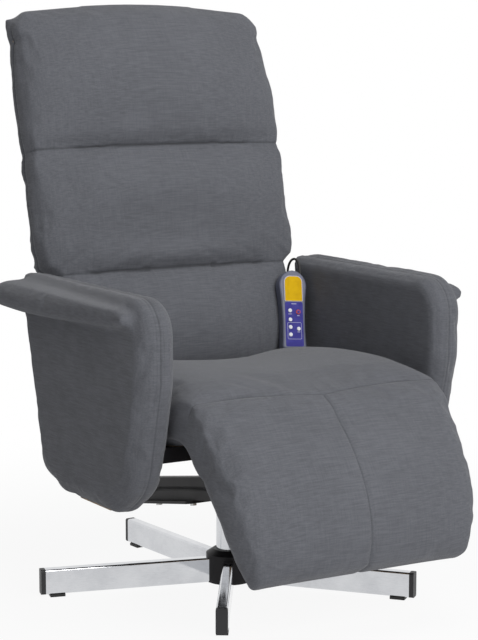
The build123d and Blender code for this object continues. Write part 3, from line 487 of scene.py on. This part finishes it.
def stitch_tree():
    """Geometry nodes that lay one thread stitch on each point of an evenly divided line."""
    tree = bpy.data.node_groups.new("stitch_row", "GeometryNodeTree")
    sockets = {}
    kinds = {"Line": "Geometry", "Pitch": "Float", "Length": "Float", "Thickness": "Float",
             "Thread": "Material"}
    for name, kind in kinds.items():
        socket = tree.interface.new_socket(name, in_out="INPUT", socket_type="NodeSocket" + kind)
        sockets[name] = socket.identifier
    tree.interface.new_socket("Stitches", in_out="OUTPUT", socket_type="NodeSocketGeometry")
    start = tree.nodes.new("NodeGroupInput")
    end = tree.nodes.new("NodeGroupOutput")
    line = tree.nodes.new("GeometryNodeMeshToCurve")
    points = tree.nodes.new("GeometryNodeCurveToPoints")
    points.mode = "LENGTH"
    thread = tree.nodes.new("GeometryNodeMeshCylinder")
    thread.inputs["Vertices"].default_value = 6
    thread.inputs["Side Segments"].default_value = 1
    place = tree.nodes.new("GeometryNodeInstanceOnPoints")
    real = tree.nodes.new("GeometryNodeRealizeInstances")
    paint = tree.nodes.new("GeometryNodeSetMaterial")
    join = tree.links.new
    join(start.outputs["Line"], line.inputs["Mesh"])
    join(line.outputs["Curve"], points.inputs["Curve"])
    join(start.outputs["Pitch"], points.inputs["Length"])
    join(start.outputs["Length"], thread.inputs["Depth"])
    join(start.outputs["Thickness"], thread.inputs["Radius"])
    join(points.outputs["Points"], place.inputs["Points"])
    join(thread.outputs["Mesh"], place.inputs["Instance"])
    turn = tree.nodes.new("FunctionNodeAlignRotationToVector")
    turn.axis = "Z"
    join(points.outputs["Tangent"], turn.inputs["Vector"])
    join(turn.outputs["Rotation"], place.inputs["Rotation"])
    join(place.outputs["Instances"], real.inputs["Geometry"])
    join(real.outputs["Geometry"], paint.inputs["Geometry"])
    join(start.outputs["Thread"], paint.inputs["Material"])
    join(paint.outputs["Geometry"], end.inputs["Stitches"])
    return tree, sockets


stitching, stitch_inputs = stitch_tree()


def stitch_row(name, cover, rays, body, pitch=0.0042, length=0.0029, thickness=0.00042):
    """Stitches along the line where the rays, each a start and a direction, meet the cover."""
    faces = [tuple(face.vertices) for face in cover.data.polygons]
    tree = BVHTree.FromPolygons(corners(cover.data).tolist(), faces)
    met = []
    for start, way in rays:
        place, arrow, _, _ = tree.ray_cast(Vector(start), Vector(way))
        if place is not None:
            met.append(place + arrow * 0.0001)
    mesh = bpy.data.meshes.new(name)
    mesh.from_pydata([tuple(place) for place in met], [(i, i + 1) for i in range(len(met) - 1)], [])
    row = bpy.data.objects.new(name, mesh)
    collection.objects.link(row)
    layer = row.modifiers.new("stitches", "NODES")
    layer.node_group = stitching
    layer[stitch_inputs["Pitch"]] = pitch
    layer[stitch_inputs["Length"]] = length
    layer[stitch_inputs["Thickness"]] = thickness
    layer[stitch_inputs["Thread"]] = thread_finish
    row.data.update()
    apply_all(row)
    smooth_faces(row.data)
    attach(row, body)


# Seat and legrest: one cover over the knee

def knee_polar(points):
    """Angle above straight ahead, and distance, about the knee axis."""
    ahead = knee_axis.y - points[:, 1]
    up = points[:, 2] - knee_axis.z
    return np.arctan2(up, ahead), np.hypot(ahead, up)


def seat_seam(points):
    """The seam across the knee, drawn forwards in the middle where the legrest's seam meets it."""
    angle, radius = knee_polar(points)
    pull = np.clip(1 - np.abs(points[:, 0]) / 0.15, 0, 1) ** 1.4
    across = (angle - (math.radians(68) - math.radians(9) * pull)) * radius
    return across, points[:, 0], step(radius, 0.06, 0.08)


def leg_seam(points):
    """The seam down the middle of the legrest, from the knee seam to the foot."""
    angle, _ = knee_polar(points)
    below = step(math.radians(59) - angle, 0.0, 0.03)
    front = step(-(points[:, 1] + 0.25 * points[:, 2]), 0.13, 0.17)
    return points[:, 0], points[:, 2] - points[:, 1], below * front * step(points[:, 2], 0.03, 0.1)


def seat_cover():
    cover = united("seat_and_legrest_cover", ("seat_cushion", "knee_cushion", "leg_cushion"),
                   voxel=0.006, passes=14, board="seat_board", wrap=0.003)
    points = corners(cover.data)
    _, radius = knee_polar(points)
    underside = step(seat_underside - points[:, 2], 0, 0.006) * step(points[:, 1] - knee_axis.y, -0.01, 0.02)
    held = np.maximum(underside, 1 - step(radius, 0.03, 0.06))
    across, _, strength = seat_seam(points)
    held = np.maximum(held, strength * (np.abs(across) < 0.004) * 0.97)
    puff(cover, held, pressure=2.2, slack=0.006, cap=0.006)
    refine(cover, lambda points: beside(points, seat_seam, 0.014) | beside(points, leg_seam, 0.012))
    # Each seam's mark is the painted shade that the material lays in its crease.
    sew(cover, [Seam(seat_seam, depth=0.0032, width=0.0045, pucker=0.0012, reach=0.018, mark=0.55),
                Seam(leg_seam, depth=0.0024, width=0.004, pucker=0.0007, reach=0.014, mark=0.5)], 3)
    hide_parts("seat_cushion", "knee_cushion", "leg_cushion")
    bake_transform(cover)


# Back: three pads in one cover

def back_places(points):
    """Height up the back and distance ahead of its pivot plane."""
    y = points[:, 1] - back_pivot.y
    z = points[:, 2] - back_pivot.z
    lean_y, lean_z = math.sin(back_lean), math.cos(back_lean)
    return y * lean_y + z * lean_z, -y * lean_z + z * lean_y


def cross_seam(height):
    """A seam across the back and round its front edges, at a height up the back."""
    def measure(points):
        up, ahead = back_places(points)
        along = points[:, 0] + ahead * 0.6 * np.sign(points[:, 0])
        return up - height, along, step(ahead, -0.004, 0.012)
    return measure


def deep_middle(height):
    """The same seam where the padding is pulled in deepest, between the two side bands."""
    def measure(points):
        across, along, front = cross_seam(height)(points)
        return across, along, front * (1 - step(np.abs(points[:, 0]), 0.165, 0.205))
    return measure


def rolled_pads(points):
    """The fullness of each pad just above its lower seam, which hangs over the seam a little."""
    up, ahead = back_places(points)
    front = step(ahead, 0.004, 0.03) * (1 - step(np.abs(points[:, 0]), 0.16, 0.26) * 0.75)
    roll = np.zeros(len(points))
    for height in (lumbar_seam, head_seam):
        above = up - height
        roll += 0.003 * step(above, 0.008, 0.03) * (1 - step(above, 0.04, 0.12))
    return roll * front


def side_seam(points):
    """The seam up each side of the back, between its front and its side band."""
    up, ahead = back_places(points)
    edge = step(np.abs(points[:, 0]), 0.2, 0.225)
    return ahead + 0.012, up, edge * step(up, 0.06, 0.1) * (1 - step(up, back_top - 0.05, back_top - 0.02))


def at_seams(up, reach):
    """1 at the heights of the two cross seams, fading to 0 away from them."""
    return np.exp(-((up - head_seam) / reach) ** 2) + np.exp(-((up - lumbar_seam) / reach) ** 2)


def back_half_width(up):
    """Half the width of the back at a height: narrow between the arms, full above them, less at the top."""
    low = half_between_arms + (half_above_arms - half_between_arms) * step(up, 0.245, 0.262)
    return low - 0.0025 * at_seams(up, 0.02) - 0.014 * step(up, 0.56, 0.73) - 0.02 * step(up, 0.715, 0.76)


def even_sides(mesh, points):
    """Take the waves out of the sides of the back: each corner's width follows those round it."""
    edges = np.empty(len(mesh.edges) * 2, np.int32)
    mesh.edges.foreach_get("vertices", edges)
    first, second = edges[0::2], edges[1::2]
    total = len(points)
    links = np.bincount(edges, minlength=total)
    up, _ = back_places(points)
    side = step(np.abs(points[:, 0]), 0.205, 0.232) * step(up, 0.07, 0.11) * (1 - step(up, 0.58, 0.65))
    width = points[:, 0].copy()
    for _ in range(110):
        around = np.bincount(first, width[second], total) + np.bincount(second, width[first], total)
        width += 0.6 * side * (around / links - width)
    points[:, 0] = width
    return points


def widest_at(up, across):
    """Half the width that the back has at each point's height, from slices of it."""
    slice_height, lowest, slices = 0.008, -0.05, 121
    place = np.clip(((up - lowest) / slice_height).astype(int), 0, slices - 1)
    widest = np.zeros(slices)
    np.maximum.at(widest, place, across)
    levels = lowest + (np.arange(slices) + 0.5) * slice_height
    filled = widest > 0.1
    return np.interp(up, levels[filled], widest[filled])


def shape_back(cover):
    """Even out the sides, fill the valleys between the pads and crown the head pad."""
    points = even_sides(cover.data, corners(cover.data))
    up, ahead = back_places(points)
    now = widest_at(up, np.abs(points[:, 0]))
    outer = step(np.abs(points[:, 0]) / now, 0.35, 0.86)
    inside = step(up, 0.06, 0.1) * (1 - step(up, 0.67, 0.70))
    points[:, 0] += np.sign(points[:, 0]) * (back_half_width(up) - now) * outer * inside
    fill = valley_fill * at_seams(up, 0.03) * step(ahead, 0.0, 0.03)
    crown = head_crown * step(up, 0.58, 0.74) * (1 - 0.75 * (np.abs(points[:, 0]) / crown_half_width) ** 2)
    crown = crown * (0.35 + 0.65 * step(ahead, -0.03, 0.02))
    points[:, 1] += crown * math.sin(back_lean) - fill * math.cos(back_lean)
    points[:, 2] += crown * math.cos(back_lean) + fill * math.sin(back_lean)
    move_corners(cover.data, points)


def back_cover():
    cover = united("back_cover_padded", ("back_cushion", "back_cover"),
                   voxel=0.006, passes=8, board="back_board", wrap=0.009)
    shape_back(cover)
    points = corners(cover.data)
    _, ahead = back_places(points)
    held = step(-ahead, 0.028, 0.036)
    for height in (lumbar_seam, head_seam):
        across, _, strength = cross_seam(height)(points)
        held = np.maximum(held, strength * (np.abs(across) < 0.005) * 0.97)
    puff(cover, held, pressure=2.0, slack=0.002, cap=0.004)

    def near_seam(points):
        close = beside(points, side_seam, 0.013)
        for height in (lumbar_seam, head_seam):
            close |= beside(points, cross_seam(height), 0.013)
        return close

    refine(cover, near_seam)
    swell(cover, rolled_pads)
    # The mark in each seam is the painted shade laid in its crease, strongest where the middle seams are
    # pulled in deepest.
    shallow = dict(depth=0.003, width=0.005, pucker=0.0012, reach=0.02, mark=0.7)
    deep = dict(depth=0.005, width=0.008, pucker=0.0016, reach=0.022, mark=1.0)
    sew(cover, [Seam(cross_seam(lumbar_seam), **shallow), Seam(cross_seam(head_seam), **shallow),
                Seam(deep_middle(lumbar_seam), **deep), Seam(deep_middle(head_seam), **deep),
                Seam(side_seam, depth=0.003, width=0.005, pucker=0.0016, reach=0.02, mark=0.7)], 11)
    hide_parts("back_cushion", "back_cover")
    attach(cover, "back")


# Arms: panel and roll in one cover

arm_centre = Vector((0, 0.009, 0.40))
arm_inner_face = 0.2545
stitch_gap = 0.0065
stitch_dent_gap = 0.007


def arm_seam(place):
    """The seam round the edge of an arm, in the upright plane at this distance from the middle."""
    def measure(points):
        ahead = arm_centre.y - points[:, 1]
        up = points[:, 2] - arm_centre.z
        reach = np.hypot(up, ahead)
        along = np.arctan2(up, ahead) * reach
        return points[:, 0] - place, along, step(reach, 0.1, 0.14) * step(points[:, 2], 0.17, 0.21)
    return measure


def arm_cover(side, word):
    cover = united(f"arm_cover_{word}", (f"arm_pad_{word}", f"arm_roll_{word}"),
                   voxel=0.005, passes=8, board=f"arm_core_{word}", wrap=0.003)
    points = corners(cover.data)
    edge_seam = arm_seam(side * arm_middle)
    inner = np.abs(points[:, 0]) < arm_inner_face
    across, _, strength = edge_seam(points)
    held = np.maximum(inner * 0.9, strength * (np.abs(across) < 0.004) * 0.95)
    puff(cover, held, pressure=2.0, slack=0.006, cap=0.005, inset=0.0015)
    refine(cover, lambda points: beside(points, edge_seam, 0.013))
    # The edge seam gets painted shade in its crease, and the dent beside the stitches gets a faint painted
    # shade too.
    beside_seam = arm_seam(side * (arm_middle + stitch_dent_gap))
    sew(cover, [Seam(edge_seam, depth=0.0028, width=0.0042, pucker=0.0009, reach=0.012, mark=0.6),
                Seam(beside_seam, depth=0.0008, width=0.0018, pucker=0.0, reach=0.004, mark=0.18)], 5 + side)
    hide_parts(f"arm_pad_{word}", f"arm_roll_{word}")
    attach(cover, "seat")
    rays = []
    stitch_line = side * (arm_middle - stitch_gap)
    for degree in range(-28, 236, 2):
        way = Vector((0, -math.cos(math.radians(degree)), math.sin(math.radians(degree))))
        start = arm_centre + way * 0.4
        rays.append(((stitch_line, start.y, start.z), -way))
    stitch_row(f"arm_stitches_{word}", cover, rays, "seat")


seat_cover()
back_cover()
for side, word in ((1, "left"), (-1, "right")):
    arm_cover(side, word)


# Handset: its place, films and printed marks

gland_y, gland_z = 0.069, 0.285
lead_diameter = 0.0045
handset_root = Vector((0.203, 0.156, 0.384))
handset_turn, handset_lean, handset_roll = math.radians(11), math.radians(16), math.radians(4)
handset_depth = 0.024
panel_face = handset_depth + 0.0004
power_key_top = handset_depth + 0.0024
edge_film = 0.0002
print_film = 0.00015
level_turn = Vector((math.cos(handset_turn), -math.sin(handset_turn), 0))
toward = Vector((-math.sin(handset_turn), -math.cos(handset_turn), 0))
upright = Vector((0, 0, 1))
handset_rise = upright * math.cos(handset_lean) - toward * math.sin(handset_lean)
handset_face = toward * math.cos(handset_lean) + upright * math.sin(handset_lean)
handset_level = level_turn * math.cos(handset_roll) - handset_rise * math.sin(handset_roll)
handset_up = handset_face.cross(handset_level)


def on_handset(across, along, out):
    return handset_root + handset_level * across + handset_up * along + handset_face * out


def rounded_outline(half_width, low, high, foot_round, head_round, steps=8):
    """Corner points of a plate with its own rounding at the foot and at the head."""
    outline = []
    for sign, end, radius, start in ((1, low, foot_round, -90), (1, high, head_round, 0),
                                     (-1, high, head_round, 90), (-1, low, foot_round, 180)):
        centre = (sign * (half_width - radius), end + radius if end == low else end - radius)
        for count in range(steps + 1):
            angle = math.radians(start + 90 * count / steps)
            outline.append((centre[0] + radius * math.cos(angle), centre[1] + radius * math.sin(angle)))
    return outline


def film(name, outline, low, high, finish, slot, hole=None, body="seat"):
    """A thin plate on the handset's face, or a frame when it has a hole."""
    shape = bmesh.new()
    levels = [(outline, low), (outline, high)]
    if hole:
        levels += [(hole, high), (hole, low)]
    rings = []
    for points, out in levels:
        rings.append([shape.verts.new(on_handset(across, along, out)) for across, along in points])
    loops = rings + [rings[0]] if hole else rings
    for one, two in zip(loops, loops[1:]):
        for count in range(len(one)):
            after = (count + 1) % len(one)
            shape.faces.new((one[count], one[after], two[after], two[count]))
    if not hole:
        shape.faces.new(rings[1])
        shape.faces.new(rings[0][::-1])
    bmesh.ops.recalc_face_normals(shape, faces=shape.faces)
    mesh = bpy.data.meshes.new(name)
    shape.to_mesh(mesh)
    shape.free()
    piece = new_piece(name, mesh, finish)
    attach(piece, body)
    return piece


def upper_films():
    """The plate under the yellow film, the film's pale edge and the film itself."""
    plate = film("upper_plate", rounded_outline(0.02, 0.0890, 0.1410, 0.003, 0.0135), panel_face - 0.0011,
                 panel_face, finishes["handset_shell"], "handset_shell")
    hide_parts("upper_panel")
    film("upper_film_edge", rounded_outline(0.0178, 0.0893, 0.1372, 0.002, 0.0115), panel_face,
         panel_face + edge_film, pale_print, "white_key")
    film("upper_film", rounded_outline(0.0168, 0.0900, 0.1362, 0.0015, 0.0108), panel_face + edge_film,
         panel_face + 2 * edge_film, finishes["yellow_panel"], "yellow_panel")


def key_prints():
    """The frame round the lower keys, a short bar beside each key and the power key's middle."""
    printed = panel_face + print_film
    film("key_group_frame", rounded_outline(0.0138, 0.0185, 0.0500, 0.003, 0.003), panel_face, printed,
         pale_print, "white_key", rounded_outline(0.0132, 0.0191, 0.0494, 0.0025, 0.0025))
    bars = {"key_mark_1": (0.0, 0.0845, 0.005), "key_mark_2": (-0.008, 0.0655, 0.0035),
            "key_mark_4": (0.008, 0.0625, 0.0025), "key_mark_5": (0.008, 0.0322, 0.003)}
    for name, (across, along, half_length) in bars.items():
        bar = rounded_outline(half_length, -0.0006, 0.0006, 0.0005, 0.0005, 2)
        film(name, [(across + x, along + y) for x, y in bar], panel_face, printed, pale_print, "white_key")
    turns = [2 * math.pi * count / 32 for count in range(32)]
    disc = [(0.008 + 0.0027 * math.cos(turn), 0.0695 + 0.0027 * math.sin(turn)) for turn in turns]
    film("power_key_mark", disc, power_key_top, power_key_top + print_film,
         finishes["violet_panel"], "violet_panel", body="power_key")


upper_films()
key_prints()


def handset_lead():
    """The cord from the handset's head down behind the seat to the gland of the control box."""
    root = on_handset(0.019, 0.130, 0.012)
    route = [
        root + handset_up * 0.0143, root + handset_up * 0.024, (0.2406, 0.1895, 0.5435),
        (0.2436, 0.2045, 0.5495), (0.2446, 0.2195, 0.5460), (0.2448, 0.2305, 0.5345),
        (0.2448, 0.2345, 0.5170), (0.2448, 0.2330, 0.4900), (0.2448, 0.2275, 0.4500),
        (0.2448, 0.2180, 0.4050), (0.2446, 0.2060, 0.3570), (0.2430, 0.1930, 0.3080),
        (0.2330, 0.1760, 0.2680), (0.2070, 0.1490, 0.2460), (0.1680, 0.1140, 0.2430),
        (0.1300, 0.0860, 0.2580), (0.1080, 0.0735, 0.2770), (0.0900, gland_y, gland_z),
        (0.0693, gland_y, gland_z),
    ]
    curve = bpy.data.curves.new("handset_lead", "CURVE")
    curve.dimensions = "3D"
    line = curve.splines.new("NURBS")
    line.points.add(len(route) - 1)
    for point, place in zip(line.points, route):
        point.co = (*place, 1)
    line.order_u = 3
    line.use_endpoint_u = True
    line.resolution_u = 8
    curve.bevel_depth = lead_diameter / 2
    curve.bevel_resolution = 5
    lead = bpy.data.objects.new("handset_lead", curve)
    collection.objects.link(lead)
    curve.materials.append(finishes["black_rubber"])
    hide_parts("handset_cord")
    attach(lead, "seat")


handset_lead()


# Floor, light and camera

def seen_directly(tree):
    """1 for rays from the camera, a mirror or a glass, 0 for the light that falls on things."""
    path = tree.nodes.new("ShaderNodeLightPath")
    seen = Value(tree, path.outputs["Is Camera Ray"]) + Value(tree, path.outputs["Is Glossy Ray"])
    return (seen + Value(tree, path.outputs["Is Transmission Ray"])).math("MINIMUM", 1.0)


def pale_floor():
    """A floor that looks white far off and keeps a faint shadow round the chair."""
    mesh = bpy.data.meshes.new("studio_floor")
    mesh.from_pydata([(-9, -7, 0), (9, -7, 0), (9, 11, 0), (-9, 11, 0)], [], [(0, 1, 2, 3)])
    pale = bpy.data.materials.new("pale_floor")
    pale.use_nodes = True
    tree = pale.node_tree
    tree.nodes.clear()
    paint = tree.nodes.new("ShaderNodeBsdfDiffuse")
    paint.inputs["Color"].default_value = (0.86, 0.86, 0.87, 1)
    glow = tree.nodes.new("ShaderNodeEmission")
    glow.inputs["Color"].default_value = (1, 1, 1, 1)
    places = tree.nodes.new("ShaderNodeTexCoord")
    reach = tree.nodes.new("ShaderNodeVectorMath")
    reach.operation = "LENGTH"
    tree.links.new(places.outputs["Object"], reach.inputs[0])
    white = seen_directly(tree) * (Value(tree, reach.outputs["Value"]).above(0.35, 1.5) * 0.08 + 0.92)
    both = tree.nodes.new("ShaderNodeMixShader")
    tree.links.new(white.socket, both.inputs[0])
    tree.links.new(paint.outputs[0], both.inputs[1])
    tree.links.new(glow.outputs[0], both.inputs[2])
    out = tree.nodes.new("ShaderNodeOutputMaterial")
    tree.links.new(both.outputs[0], out.inputs[0])
    new_piece("studio_floor", mesh, pale)


def white_surround(fill):
    """A world that is seen white and lights the chair by the fill alone."""
    world = bpy.data.worlds.new("studio")
    scene.world = world
    world.use_nodes = True
    tree = world.node_tree
    ground = tree.nodes["Background"]
    ground.inputs["Color"].default_value = (1, 1, 1, 1)
    tree.links.new((seen_directly(tree) * (1 - fill) + fill).socket, ground.inputs["Strength"])


def softbox(name, place, aim, size, power):
    light = bpy.data.lights.new(name, "AREA")
    light.shape = "SQUARE"
    light.size = size
    light.energy = power
    holder = bpy.data.objects.new(name, light)
    collection.objects.link(holder)
    holder.location = place
    holder.rotation_euler = (Vector(aim) - Vector(place)).to_track_quat("-Z", "Y").to_euler()


def front_camera(place, direction, lens):
    view = bpy.data.cameras.new("front_camera")
    view.lens = lens
    view.sensor_width = 36
    view.sensor_fit = "AUTO"
    holder = bpy.data.objects.new("front_camera", view)
    collection.objects.link(holder)
    holder.location = place
    holder.rotation_euler = Vector(direction).to_track_quat("-Z", "Y").to_euler()
    scene.camera = holder


pale_floor()
white_surround(0.225)
softbox("front_softbox", (-0.1, -3.2, 2.05), (0, 0, 0.5), 1.5, 64)
softbox("top_softbox", (0.4, -0.9, 3.0), (0, 0, 0.4), 1.4, 19)
front_camera((-1.7715, -2.9401, 0.9533), (0.5106, 0.8487, -0.1380), 112.66)
scene.view_settings.view_transform = "Standard"
